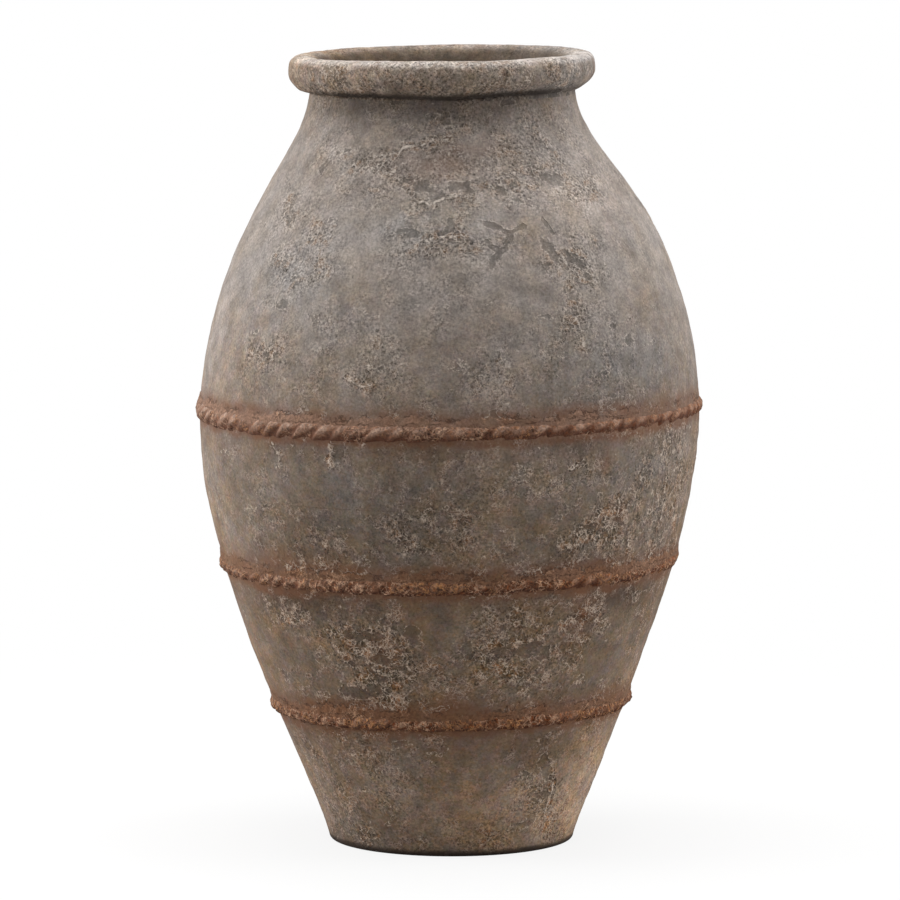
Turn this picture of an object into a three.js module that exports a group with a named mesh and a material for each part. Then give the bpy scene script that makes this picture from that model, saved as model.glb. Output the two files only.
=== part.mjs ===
// A tall hand-built storage jar of fired clay: a floor disc, five wall strakes raised one on the
// other, a thick rim coil, and three cable-pattern bands laid over the seams of the lower strakes.
// Millimetres, +Z up. The origin is on the floor, on the jar's axis.
import * as THREE from 'three';

// Overall height, to the crest of the rim
const JAR_HEIGHT = 800;

// Outer outline of the wall. Three cubic curves run from the foot to the neck. A reach is how far,
// in height, a curve keeps the direction that it has at that point.
const FOOT_RADIUS = 124;
const FOOT_REACH = 28;
const BELLY_RADIUS = 253;
const BELLY_HEIGHT = 430;
const BELLY_REACH_DOWN = 156;
const BELLY_REACH_UP = 112;
const SHOULDER_RADIUS = 178;
const SHOULDER_LEAN_IN = 0.666; // inward run for each unit of rise
const SHOULDER_REACH_DOWN = 43;
const SHOULDER_REACH_UP = 38;
const NECK_RADIUS = 132;
const NECK_LENGTH = 102; // from the shoulder's point up to the neck's edge
const NECK_REACH = 40;

// The clay
const WALL_THICKNESS = 18;
const FLOOR_EDGE = 10; // height of the floor disc's outer edge
const FOOT_EDGE_CHAMFER = 4;

// Seams. Each strake's top edge is cut to a slope that rises inwards, and the next one laps over it.
const SCARF_RISE = 14;
const SEAM_GAP = 0.4; // measured upright, about 0.3 across the slope
const NECK_STRAKE_HEIGHT = 160;

// The rim coil, which overhangs the neck on the outside
const RIM_DEPTH = 40; // from its crest to the neck's seam
const RIM_ROLL = 19; // from its crest to where it is widest
const RIM_OVERHANG = 20.6;
const CREST_SETBACK = 15.5; // crest of the coil, in from its widest line

// The neck of the real jar was drawn up a little off the axis of its belly.
const NECK_OFFSET = -9;
const NECK_OFFSET_RUN = 145; // height over which the centre line moves

// The cable bands: strips with a rounded back, cut across by slanting notches
const BAND_WIDTH = 14;
const BAND_RELIEF = 5.4;
const BAND_EDGE = 1.2; // thickness of the strip along its two edges
const BAND_GAP = 0.4;
const NOTCH_PITCH = 20.5;
const NOTCH_DEPTH_SHARE = 0.55;
const NOTCH_SLANT = 1.3; // run along the band for each unit across it
const BAND_TILT = 3; // rise at the +X side, as laid by hand
const LOWER_BAND_HEIGHT = 142;
const MIDDLE_BAND_HEIGHT = 286;
const UPPER_BAND_HEIGHT = 442;

// Facets
const TURN_STEPS = 48;
const STRAKE_STEPS = 4;
const RIM_ARC_STEPS = 4;
const NOTCH_STEPS = 3;
const BAND_ARC_STEPS = 4;
const HALVINGS = 50;

// Heights that follow from the sizes above
const FLOOR_THICKNESS = FLOOR_EDGE + SCARF_RISE;
const RIM_SEAM_HEIGHT = JAR_HEIGHT - RIM_DEPTH;
const NECK_SEAM_HEIGHT = RIM_SEAM_HEIGHT - NECK_STRAKE_HEIGHT;
const NECK_HEIGHT = RIM_SEAM_HEIGHT + SCARF_RISE + SEAM_GAP;
const SHOULDER_HEIGHT = NECK_HEIGHT - NECK_LENGTH;

// The outline's three curves, as radius against height
const foot = new THREE.Vector2(FOOT_RADIUS, 0);
const belly = new THREE.Vector2(BELLY_RADIUS, BELLY_HEIGHT);
const shoulder = new THREE.Vector2(SHOULDER_RADIUS, SHOULDER_HEIGHT);
const neck = new THREE.Vector2(NECK_RADIUS, NECK_HEIGHT);
const onShoulderSlope = (rise) =>
  new THREE.Vector2(shoulder.x - rise * SHOULDER_LEAN_IN, shoulder.y + rise);

const outline = [
  new THREE.CubicBezierCurve(
    foot,
    new THREE.Vector2(foot.x, foot.y + FOOT_REACH),
    new THREE.Vector2(belly.x, belly.y - BELLY_REACH_DOWN),
    belly,
  ),
  new THREE.CubicBezierCurve(
    belly,
    new THREE.Vector2(belly.x, belly.y + BELLY_REACH_UP),
    onShoulderSlope(-SHOULDER_REACH_DOWN),
    shoulder,
  ),
  new THREE.CubicBezierCurve(
    shoulder,
    onShoulderSlope(SHOULDER_REACH_UP),
    new THREE.Vector2(neck.x, neck.y - NECK_REACH),
    neck,
  ),
];

// A place on the wall: `along` counts the curves from the foot, and `depth` is measured square to
// the outer surface, into the clay.
function wallPoint(along, depth) {
  const index = Math.min(Math.floor(along), outline.length - 1);
  const curve = outline[index];
  const share = along - index;
  const tangent = curve.getTangent(share);
  const inward = new THREE.Vector2(-tangent.y, tangent.x);
  return curve.getPoint(share).addScaledVector(inward, depth);
}

// The `along` whose wall point is at this height, by halving. Height always grows along the outline.
function alongAtHeight(height, depth) {
  let low = 0;
  let high = outline.length;
  for (let i = 0; i < HALVINGS; i++) {
    const middle = (low + high) / 2;
    if (wallPoint(middle, depth).y < height) low = middle;
    else high = middle;
  }
  return (low + high) / 2;
}

function wallRadius(height, depth) {
  return wallPoint(alongAtHeight(height, depth), depth).x;
}

// Points of the wall's surface at this depth, from one height to another
function wallStretch(fromHeight, toHeight, depth) {
  const from = alongAtHeight(fromHeight, depth);
  const to = alongAtHeight(toHeight, depth);
  const points = [];
  for (let i = 0; i <= STRAKE_STEPS; i++) {
    points.push(wallPoint(from + ((to - from) * i) / STRAKE_STEPS, depth));
  }
  return points;
}

// How far the jar's centre line has moved along X at this height
function centreOffset(height) {
  const start = RIM_SEAM_HEIGHT - NECK_OFFSET_RUN;
  return NECK_OFFSET * THREE.MathUtils.smoothstep(height, start, RIM_SEAM_HEIGHT);
}

function followCentreLine(geometry) {
  const position = geometry.getAttribute('position');
  for (let i = 0; i < position.count; i++) {
    position.setX(i, position.getX(i) + centreOffset(position.getZ(i)));
  }
  geometry.computeVertexNormals();
  return geometry;
}

// A closed section, given as radius against height, turned about the jar's axis
function turned(section) {
  const geometry = new THREE.LatheGeometry(section, TURN_STEPS);
  geometry.rotateX(Math.PI / 2);
  return followCentreLine(geometry);
}

// The floor disc: flat below, with a chamfered foot edge, and a sloped shoulder for the first strake
function floorDisc() {
  return turned([
    new THREE.Vector2(0, 0),
    new THREE.Vector2(FOOT_RADIUS - FOOT_EDGE_CHAMFER, 0),
    new THREE.Vector2(wallRadius(FOOT_EDGE_CHAMFER, 0), FOOT_EDGE_CHAMFER),
    new THREE.Vector2(wallRadius(FLOOR_EDGE, 0), FLOOR_EDGE),
    new THREE.Vector2(wallRadius(FLOOR_THICKNESS, WALL_THICKNESS), FLOOR_THICKNESS),
    new THREE.Vector2(0, FLOOR_THICKNESS),
  ]);
}

// One strake of the wall, between two seams given by their height on the outside
function strake(lowSeam, highSeam) {
  const outside = wallStretch(lowSeam + SEAM_GAP, highSeam, 0);
  const inside = wallStretch(lowSeam + SEAM_GAP + SCARF_RISE, highSeam + SCARF_RISE, WALL_THICKNESS);
  return turned([...outside, ...inside.reverse(), outside[0]]);
}

function quarterEllipse(centreX, centreY, halfWidth, halfHeight, fromAngle, toAngle) {
  return new THREE.EllipseCurve(
    centreX, centreY, halfWidth, halfHeight, fromAngle, toAngle,
  ).getPoints(RIM_ARC_STEPS);
}

// The rim coil: it seats on the neck's sloped edge, bulges outwards and rolls over into the mouth.
function rimCoil() {
  const seatHeight = RIM_SEAM_HEIGHT + SEAM_GAP;
  const seatRadius = wallRadius(seatHeight, 0);
  const mouthHeight = seatHeight + SCARF_RISE;
  const mouthRadius = wallRadius(mouthHeight, WALL_THICKNESS);
  const waistHeight = JAR_HEIGHT - RIM_ROLL;
  const crestRadius = seatRadius + RIM_OVERHANG - CREST_SETBACK;
  const right = 0;
  const up = Math.PI / 2;
  const left = Math.PI;
  const down = -Math.PI / 2;
  const underside = quarterEllipse(
    seatRadius, waistHeight, RIM_OVERHANG, waistHeight - seatHeight, down, right,
  );
  const outside = quarterEllipse(crestRadius, waistHeight, CREST_SETBACK, RIM_ROLL, right, up);
  const inside = quarterEllipse(
    crestRadius, mouthHeight, crestRadius - mouthRadius, JAR_HEIGHT - mouthHeight, up, left,
  );
  return turned([...underside, ...outside.slice(1), ...inside.slice(1), underside[0]]);
}

// A cable band: each section of the strip is slanted along the band, so that the notches between
// the strands run along it. The strip's back follows the wall.
function ropeBand(bandHeight) {
  const notches = Math.round((2 * Math.PI * wallRadius(bandHeight, 0)) / NOTCH_PITCH);
  const steps = notches * NOTCH_STEPS;

  // The strip's section as distance across the band and height off the wall
  function section(strandShare) {
    const relief = BAND_RELIEF - BAND_EDGE;
    const rise = relief * (1 - NOTCH_DEPTH_SHARE * (1 - Math.sin(Math.PI * strandShare)));
    const points = [new THREE.Vector2(-BAND_WIDTH / 2, BAND_GAP)];
    for (let i = 0; i <= BAND_ARC_STEPS; i++) {
      const angle = Math.PI * (i / BAND_ARC_STEPS - 0.5);
      points.push(new THREE.Vector2(
        (BAND_WIDTH / 2) * Math.sin(angle),
        BAND_GAP + BAND_EDGE + rise * Math.cos(angle),
      ));
    }
    points.push(new THREE.Vector2(BAND_WIDTH / 2, BAND_GAP));
    return points;
  }

  const positions = [];
  let ringSize = 0;
  for (let step = 0; step < steps; step++) {
    const points = section((step % NOTCH_STEPS) / NOTCH_STEPS);
    ringSize = points.length;
    for (const { x: across, y: offWall } of points) {
      const turn = (2 * Math.PI * step) / steps;
      const along = alongAtHeight(bandHeight + BAND_TILT * Math.cos(turn) + across, 0);
      const place = wallPoint(along, -offWall);
      const angle = turn + (NOTCH_SLANT * across) / place.x;
      positions.push(place.x * Math.cos(angle), place.x * Math.sin(angle), place.y);
    }
  }
  const indices = [];
  for (let step = 0; step < steps; step++) {
    const ring = step * ringSize;
    const nextRing = ((step + 1) % steps) * ringSize;
    for (let i = 0; i < ringSize; i++) {
      const j = (i + 1) % ringSize;
      indices.push(ring + i, nextRing + i, ring + j);
      indices.push(ring + j, nextRing + i, nextRing + j);
    }
  }
  const geometry = new THREE.BufferGeometry();
  geometry.setAttribute('position', new THREE.Float32BufferAttribute(positions, 3));
  geometry.setIndex(indices);
  return followCentreLine(geometry);
}

const weatheredClay = new THREE.MeshStandardMaterial({ color: 0x7d7267, roughness: 0.95, metalness: 0 });
const paleRim = new THREE.MeshStandardMaterial({ color: 0x86796b, roughness: 0.95, metalness: 0 });
const sootedFloor = new THREE.MeshStandardMaterial({ color: 0x5c5148, roughness: 0.95, metalness: 0 });
const rustClay = new THREE.MeshStandardMaterial({ color: 0x7b563f, roughness: 0.95, metalness: 0 });

function named(name, geometry, material) {
  const mesh = new THREE.Mesh(geometry, material);
  mesh.name = name;
  return mesh;
}

const STRAKES = [
  { name: 'foot_strake', from: FLOOR_EDGE, to: LOWER_BAND_HEIGHT },
  { name: 'lower_belly_strake', from: LOWER_BAND_HEIGHT, to: MIDDLE_BAND_HEIGHT },
  { name: 'upper_belly_strake', from: MIDDLE_BAND_HEIGHT, to: UPPER_BAND_HEIGHT },
  { name: 'shoulder_strake', from: UPPER_BAND_HEIGHT, to: NECK_SEAM_HEIGHT },
  { name: 'neck_strake', from: NECK_SEAM_HEIGHT, to: RIM_SEAM_HEIGHT },
];
const BANDS = [
  { name: 'rope_band_lower', height: LOWER_BAND_HEIGHT },
  { name: 'rope_band_middle', height: MIDDLE_BAND_HEIGHT },
  { name: 'rope_band_upper', height: UPPER_BAND_HEIGHT },
];

const jar = new THREE.Group();
jar.name = 'storage_jar';
jar.add(named('floor_disc', floorDisc(), sootedFloor));
for (const { name, from, to } of STRAKES) jar.add(named(name, strake(from, to), weatheredClay));
jar.add(named('rim_coil', rimCoil(), paleRim));
for (const { name, height } of BANDS) jar.add(named(name, ropeBand(height), rustClay));

export default jar;
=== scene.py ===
"""A tall hand-built storage jar of weathered clay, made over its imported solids.

Every piece is a surface worked out from the jar's outline. It carries the unevenness, the lacy crust
and the stains of old unglazed clay, as real relief and as masks that the finishes read.
Lengths are in metres. A turn is an angle about the jar's axis, from the front (-Y) towards +X.
"""

import bpy
import numpy as np
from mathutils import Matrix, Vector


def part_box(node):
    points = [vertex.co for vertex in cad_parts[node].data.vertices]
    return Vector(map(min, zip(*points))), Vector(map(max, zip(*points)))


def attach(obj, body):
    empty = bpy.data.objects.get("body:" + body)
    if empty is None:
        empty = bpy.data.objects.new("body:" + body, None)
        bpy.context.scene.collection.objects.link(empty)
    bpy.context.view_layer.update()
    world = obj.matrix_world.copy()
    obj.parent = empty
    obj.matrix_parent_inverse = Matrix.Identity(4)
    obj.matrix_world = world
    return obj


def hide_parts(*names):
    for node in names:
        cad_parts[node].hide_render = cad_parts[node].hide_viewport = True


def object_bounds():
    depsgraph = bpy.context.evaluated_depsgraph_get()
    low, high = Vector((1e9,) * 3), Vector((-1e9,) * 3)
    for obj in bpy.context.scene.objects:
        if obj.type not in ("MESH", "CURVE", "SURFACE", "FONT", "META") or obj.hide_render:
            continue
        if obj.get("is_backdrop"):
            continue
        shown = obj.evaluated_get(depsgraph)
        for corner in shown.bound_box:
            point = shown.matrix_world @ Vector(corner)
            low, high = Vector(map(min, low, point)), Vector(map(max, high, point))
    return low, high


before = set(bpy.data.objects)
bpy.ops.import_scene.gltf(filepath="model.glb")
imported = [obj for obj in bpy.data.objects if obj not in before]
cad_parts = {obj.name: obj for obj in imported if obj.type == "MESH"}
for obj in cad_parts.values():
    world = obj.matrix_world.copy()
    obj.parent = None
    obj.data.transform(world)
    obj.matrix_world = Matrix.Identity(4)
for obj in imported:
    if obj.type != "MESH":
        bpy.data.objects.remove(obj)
cad_low, cad_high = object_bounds()

# The floor disc: a slab of coarse clay, beaten flat and cut round, on which the jar was started. Its edge
# carries on the wall's face and its underside is sooty. The outline, the weathering and the grey clay that
# it shares with the strakes are set out here.

STRAKES = ["foot_strake", "lower_belly_strake", "upper_belly_strake", "shoulder_strake", "neck_strake"]
BANDS = ["rope_band_lower", "rope_band_middle", "rope_band_upper"]

# The seams between the pieces, by their height on the outside, and the bands' middle heights
seams = [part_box(name)[0].z for name in STRAKES + ["rim_coil"]]
band_heights = [(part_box(name)[0].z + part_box(name)[1].z) / 2 for name in BANDS]

# The wall's outline: radii and heights of its points, and reaches, which are how far in height a curve
# keeps the direction that it has at a point
JAR_HEIGHT = cad_high.z
FOOT_RADIUS = 0.124
FOOT_REACH = 0.028
BELLY_RADIUS = 0.253
BELLY_HEIGHT = 0.430
BELLY_REACH_DOWN = 0.156
BELLY_REACH_UP = 0.112
SHOULDER_RADIUS = 0.179
SHOULDER_LEAN_IN = 0.666  # inward run for each unit of rise
SHOULDER_REACH_DOWN = 0.043
SHOULDER_REACH_UP = 0.038
NECK_RADIUS = 0.1335
NECK_LENGTH = 0.102
NECK_REACH = 0.040
WALL_THICKNESS = 0.018
SCARF_RISE = 0.014  # how far a seam climbs through the wall

# The centre line: the neck was drawn up off the axis, and the wall below wanders a little
NECK_OFFSET = -0.009
NECK_OFFSET_RUN = 0.145
CENTRE_HEIGHTS = [0.0, 0.06, 0.13, 0.20, 0.37, 0.43, 0.52, 0.64]
CENTRE_OFFSETS = [0.0015, 0.0015, 0.0, -0.0017, -0.0017, -0.0002, 0.0010, 0.0010]


def cubic(a, b, c, d, steps=400):
    """Points of a cubic curve: (1-t)^3 a + 3(1-t)^2 t b + 3(1-t)t^2 c + t^3 d, for t from 0 up to 1."""
    t = np.linspace(0, 1, steps, endpoint=False)[:, None]
    s = 1 - t
    a, b, c, d = (np.array(point) for point in (a, b, c, d))
    return s**3 * a + 3 * s**2 * t * b + 3 * s * t**2 * c + t**3 * d


neck_height = seams[-1] + SCARF_RISE
shoulder_height = neck_height - NECK_LENGTH


def on_shoulder(rise):
    """A point on the shoulder's slope, as radius and height, this far above the shoulder's own point."""
    return (SHOULDER_RADIUS - rise * SHOULDER_LEAN_IN, shoulder_height + rise)


outline = np.concatenate(
    [
        cubic(
            (FOOT_RADIUS, 0),
            (FOOT_RADIUS, FOOT_REACH),
            (BELLY_RADIUS, BELLY_HEIGHT - BELLY_REACH_DOWN),
            (BELLY_RADIUS, BELLY_HEIGHT),
        ),
        cubic(
            (BELLY_RADIUS, BELLY_HEIGHT),
            (BELLY_RADIUS, BELLY_HEIGHT + BELLY_REACH_UP),
            on_shoulder(-SHOULDER_REACH_DOWN),
            on_shoulder(0),
        ),
        cubic(
            on_shoulder(0),
            on_shoulder(SHOULDER_REACH_UP),
            (NECK_RADIUS, neck_height - NECK_REACH),
            (NECK_RADIUS, neck_height),
        ),
    ]
)
outline_slope = np.gradient(outline[:, 0], outline[:, 1])
outline_rise = 1 / np.hypot(1, outline_slope)
inner_outline = outline - WALL_THICKNESS * np.stack([outline_rise, -outline_slope * outline_rise], axis=1)


def outer_radius(height):
    """Radius of the wall's outer face at a height, read along the outline."""
    return np.interp(height, outline[:, 1], outline[:, 0])


def inner_radius(height):
    """Radius of the wall's inner face: the outline moved one wall thickness square to itself."""
    return np.interp(height, inner_outline[:, 1], inner_outline[:, 0])


def smooth(value, low, high):
    """Goes from 0 at low to 1 at high as 3t^2 - 2t^3."""
    t = np.clip((value - low) / (high - low), 0, 1)
    return t * t * (3 - 2 * t)


def around(turn, radius, height):
    """Places at a turn, radius and height: the centre line there, plus radius times (sin turn, -cos turn)."""
    lean = np.interp(height, CENTRE_HEIGHTS, CENTRE_OFFSETS)
    lean = lean + NECK_OFFSET * smooth(height, seams[-1] - NECK_OFFSET_RUN, seams[-1])
    return np.stack([lean + radius * np.sin(turn), -radius * np.cos(turn), height + 0 * turn], axis=-1)


def off_wall(turn, height, distance):
    """Places at a distance from the outer face: radius and height move along the outline's normal."""
    slope = np.interp(height, outline[:, 1], outline_slope)
    rise = 1 / np.hypot(1, slope)
    return around(turn, outer_radius(height) + distance * rise, height - distance * slope * rise)


random = np.random.RandomState(41)
SHUFFLE = random.permutation(256)
LEANS = random.normal(size=(256, 3)).astype(np.float32)
LEANS /= np.linalg.norm(LEANS, axis=1, keepdims=True)
CORNERS = np.array(np.meshgrid([0, 1], [0, 1], [0, 1])).T.reshape(-1, 3)
SEED_SHIFT = 17.31
RIPPLE_GAIN = 1.6
LAYERED_GAIN = 1.4


def lot(cell):
    """A number from 0 to 255 that is fixed for each cell of a lattice."""
    x, y, z = cell[..., 0], cell[..., 1], cell[..., 2]
    return SHUFFLE[(SHUFFLE[(SHUFFLE[x & 255] + y) & 255] + z) & 255]


def ripple(place, size, seed):
    """Gradient noise from about -1 to 1: a lean at each corner of a lattice, blended by 6t^5 - 15t^4 + 10t^3.

    The seed moves the lattice, so that ripples of different seeds don't match.
    """
    spot = (place / size + seed * SEED_SHIFT).astype(np.float32)
    cell = np.floor(spot).astype(np.int32)
    part = spot - cell
    blend = part**3 * (part * (part * 6 - 15) + 10)
    total = np.zeros(spot.shape[:-1], np.float32)
    for corner in CORNERS:
        weight = np.prod(np.where(corner, blend, 1 - blend), axis=-1)
        total += weight * np.sum(LEANS[lot(cell + corner)] * (part - corner), axis=-1)
    return RIPPLE_GAIN * total


def layered(place, size, seed, layers=3):
    """Sum of ripples, each half the size and half the height of the one before, scaled to about -1 to 1."""
    total = sum(ripple(place, size / 2**k, seed + k) / 2**k for k in range(layers))
    return total / (2 - 0.5 ** (layers - 1)) * LAYERED_GAIN


# Weathering by height: how thick the crust is, how earthy the clay's colour is, and how pale it is
CRUST_HEIGHTS = [0.00, 0.11, 0.21, 0.32, 0.40, 0.46, 0.55, 0.61, 0.70, 0.76]
CRUST_LEVELS = [0.52, 0.50, 0.44, 0.46, 0.42, 0.36, 0.34, 0.35, 0.40, 0.42]
EARTH_HEIGHTS = [0.00, 0.24, 0.35, 0.40, 0.47, 0.52, 0.60, 0.71, 0.76]
EARTH_LEVELS = [0.97, 1.00, 0.72, 0.58, 0.42, 0.22, 0.04, 0.06, 0.40]
TONE_HEIGHTS = [0.00, 0.06, 0.11, 0.27, 0.43, 0.49, 0.58, 0.68, 0.76]
TONE_LEVELS = [1.08, 1.08, 0.96, 0.88, 0.87, 0.95, 0.97, 1.00, 1.00]

# Patches of weathering: turn in degrees, height, half width, half height, strength
CRUSTED = [
    (-20, 0.211, 0.050, 0.040, 0.60),
    (15, 0.222, 0.050, 0.042, 0.42),
    (38, 0.247, 0.030, 0.030, 0.40),
    (-33, 0.314, 0.038, 0.020, 0.20),
    (-8, 0.334, 0.022, 0.020, 0.40),
    (-49, 0.249, 0.026, 0.014, 0.45),
    (40, 0.342, 0.045, 0.034, 0.50),
    (35, 0.402, 0.028, 0.016, 0.40),
    (51, 0.385, 0.024, 0.014, 0.40),
    (67, 0.368, 0.040, 0.054, 0.35),
    (-2, 0.370, 0.055, 0.040, 0.25),
    (-18, 0.496, 0.030, 0.018, 0.45),
    (9, 0.500, 0.022, 0.024, 0.40),
    (33, 0.552, 0.026, 0.022, 0.40),
    (-42, 0.636, 0.024, 0.016, 0.45),
    (-57, 0.645, 0.050, 0.036, 0.25),
    (-28, 0.700, 0.034, 0.014, 0.45),
    (24, 0.686, 0.046, 0.026, 0.45),
    (34, 0.602, 0.036, 0.030, 0.55),
    (-5, 0.626, 0.042, 0.018, 0.50),
    (45, 0.686, 0.040, 0.040, 0.30),
    (0, 0.700, 0.050, 0.020, 0.22),
    (-48, 0.512, 0.042, 0.026, 0.38),
    (-51, 0.603, 0.030, 0.022, 0.40),
    (-36, 0.590, 0.030, 0.012, 0.35),
    (-47, 0.016, 0.028, 0.014, 0.35),
    (38, 0.056, 0.022, 0.020, 0.35),
    (105, 0.640, 0.070, 0.040, 0.50),
    (150, 0.560, 0.050, 0.050, 0.40),
    (196, 0.690, 0.080, 0.030, 0.50),
    (232, 0.580, 0.060, 0.045, 0.45),
    (95, 0.380, 0.050, 0.050, 0.40),
    (168, 0.370, 0.060, 0.045, 0.50),
    (215, 0.215, 0.060, 0.040, 0.60),
    (262, 0.330, 0.060, 0.050, 0.40),
    (120, 0.215, 0.050, 0.040, 0.50),
    (175, 0.090, 0.050, 0.030, 0.30),
]
SMOOTH = [
    (-76, 0.560, 0.075, 0.110, 0.35),
    (-78, 0.350, 0.080, 0.090, 0.50),
    (-72, 0.205, 0.050, 0.050, 0.45),
    (-30, 0.390, 0.050, 0.025, 0.35),
    (74, 0.560, 0.070, 0.110, 0.25),
    (12, 0.080, 0.060, 0.050, 0.30),
    (-2, 0.250, 0.028, 0.024, 0.40),
    (52, 0.205, 0.030, 0.022, 0.40),
    (140, 0.480, 0.080, 0.060, 0.30),
    (250, 0.470, 0.080, 0.060, 0.30),
    (200, 0.300, 0.060, 0.030, 0.40),
]
STREAKED = [
    (55, 0.360, 0.055, 0.060, 1.0),
    (60, 0.412, 0.055, 0.026, 1.0),
    (66, 0.300, 0.030, 0.030, 0.6),
    (72, 0.500, 0.040, 0.060, 0.5),
    (-76, 0.360, 0.050, 0.080, 0.6),
    (100, 0.360, 0.070, 0.060, 0.9),
    (205, 0.340, 0.060, 0.060, 0.7),
]
COOL = [
    (-45, 0.585, 0.060, 0.050, 0.7),
    (43, 0.503, 0.090, 0.036, 0.9),
    (48, 0.405, 0.066, 0.028, 0.9),
    (-10, 0.640, 0.080, 0.026, 0.7),
    (-28, 0.390, 0.050, 0.040, 0.9),
    (0, 0.246, 0.035, 0.024, 0.9),
    (50, 0.205, 0.040, 0.022, 0.9),
    (140, 0.480, 0.080, 0.050, 1.0),
    (210, 0.420, 0.080, 0.040, 0.9),
    (250, 0.640, 0.060, 0.040, 0.9),
]
RUSTED = [
    (0, 0.167, 0.024, 0.014, 0.8),
    (11, 0.714, 0.036, 0.007, 0.6),
    (-2, 0.700, 0.045, 0.015, 0.45),
    (61, 0.152, 0.040, 0.012, 0.8),
    (38, 0.407, 0.008, 0.012, 0.7),
    (44, 0.355, 0.008, 0.014, 0.7),
    (38, 0.250, 0.014, 0.022, 0.9),
    (-18, 0.222, 0.016, 0.012, 0.7),
    (-48, 0.312, 0.050, 0.012, 0.6),
    (160, 0.305, 0.060, 0.010, 0.8),
    (230, 0.165, 0.040, 0.012, 0.8),
    (120, 0.230, 0.016, 0.016, 0.8),
    (264, 0.360, 0.012, 0.016, 0.7),
]
PALER = [
    (66, 0.050, 0.050, 0.090, 1.20),
    (20, 0.042, 0.075, 0.060, 0.68),
    (45, 0.030, 0.035, 0.040, 1.05),
    (-20, 0.070, 0.040, 0.030, 0.30),
    (74, 0.610, 0.040, 0.040, 0.12),
    (76, 0.370, 0.040, 0.040, 0.14),
    (60, 0.715, 0.050, 0.020, 0.12),
    (0, 0.225, 0.070, 0.025, 0.25),
    (8, 0.150, 0.030, 0.020, 0.16),
    (-62, 0.472, 0.060, 0.020, 0.17),
    (10, 0.472, 0.030, 0.020, 0.22),
    (14, 0.712, 0.025, 0.012, 0.12),
    (10, 0.590, 0.030, 0.030, 0.10),
    (-72, 0.050, 0.040, 0.080, 0.18),
    (-76, 0.340, 0.080, 0.070, 0.34),
    (8, 0.210, 0.060, 0.040, 0.20),
    (10, 0.330, 0.045, 0.045, 0.14),
    (-76, 0.500, 0.070, 0.070, 0.18),
    (-74, 0.200, 0.050, 0.060, 0.26),
    (72, 0.178, 0.040, 0.050, 0.44),
    (10, 0.652, 0.070, 0.036, 0.20),
    (44, 0.670, 0.060, 0.030, 0.31),
    (74, 0.745, 0.030, 0.020, 0.30),
    (150, 0.080, 0.080, 0.070, 0.30),
    (240, 0.350, 0.080, 0.090, 0.20),
]
STAINED = [
    (42, 0.500, 0.080, 0.060, 0.16),
    (30, 0.300, 0.045, 0.050, 0.26),
    (30, 0.112, 0.035, 0.022, 0.40),
    (-36, 0.150, 0.060, 0.022, 0.43),
    (-50, 0.668, 0.090, 0.030, 0.09),
    (-64, 0.120, 0.040, 0.024, 0.20),
    (-28, 0.672, 0.030, 0.018, 0.14),
    (30, 0.712, 0.030, 0.016, 0.16),
    (30, 0.400, 0.030, 0.022, 0.12),
    (-60, 0.392, 0.060, 0.028, 0.18),
    (-10, 0.392, 0.030, 0.020, 0.20),
    (34, 0.468, 0.050, 0.020, 0.22),
    (-30, 0.468, 0.030, 0.020, 0.12),
    (30, 0.340, 0.030, 0.030, 0.20),
    (40, 0.230, 0.040, 0.022, 0.12),
    (-50, 0.190, 0.030, 0.020, 0.12),
    (-32, 0.030, 0.060, 0.025, 0.17),
    (30, 0.430, 0.034, 0.016, 0.36),
    (-38, 0.428, 0.070, 0.014, 0.28),
    (-8, 0.428, 0.040, 0.014, 0.28),
    (-18, 0.310, 0.060, 0.014, 0.22),
    (-52, 0.114, 0.060, 0.030, 0.12),
    (50, 0.270, 0.050, 0.022, 0.54),
    (-42, 0.268, 0.070, 0.020, 0.48),
    (-32, 0.335, 0.060, 0.050, 0.20),
    (-10, 0.350, 0.050, 0.040, 0.20),
    (-9, 0.702, 0.045, 0.022, 0.20),
    (-36, 0.752, 0.060, 0.018, 0.38),
    (190, 0.510, 0.080, 0.055, 0.15),
    (120, 0.300, 0.060, 0.040, 0.20),
]
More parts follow.
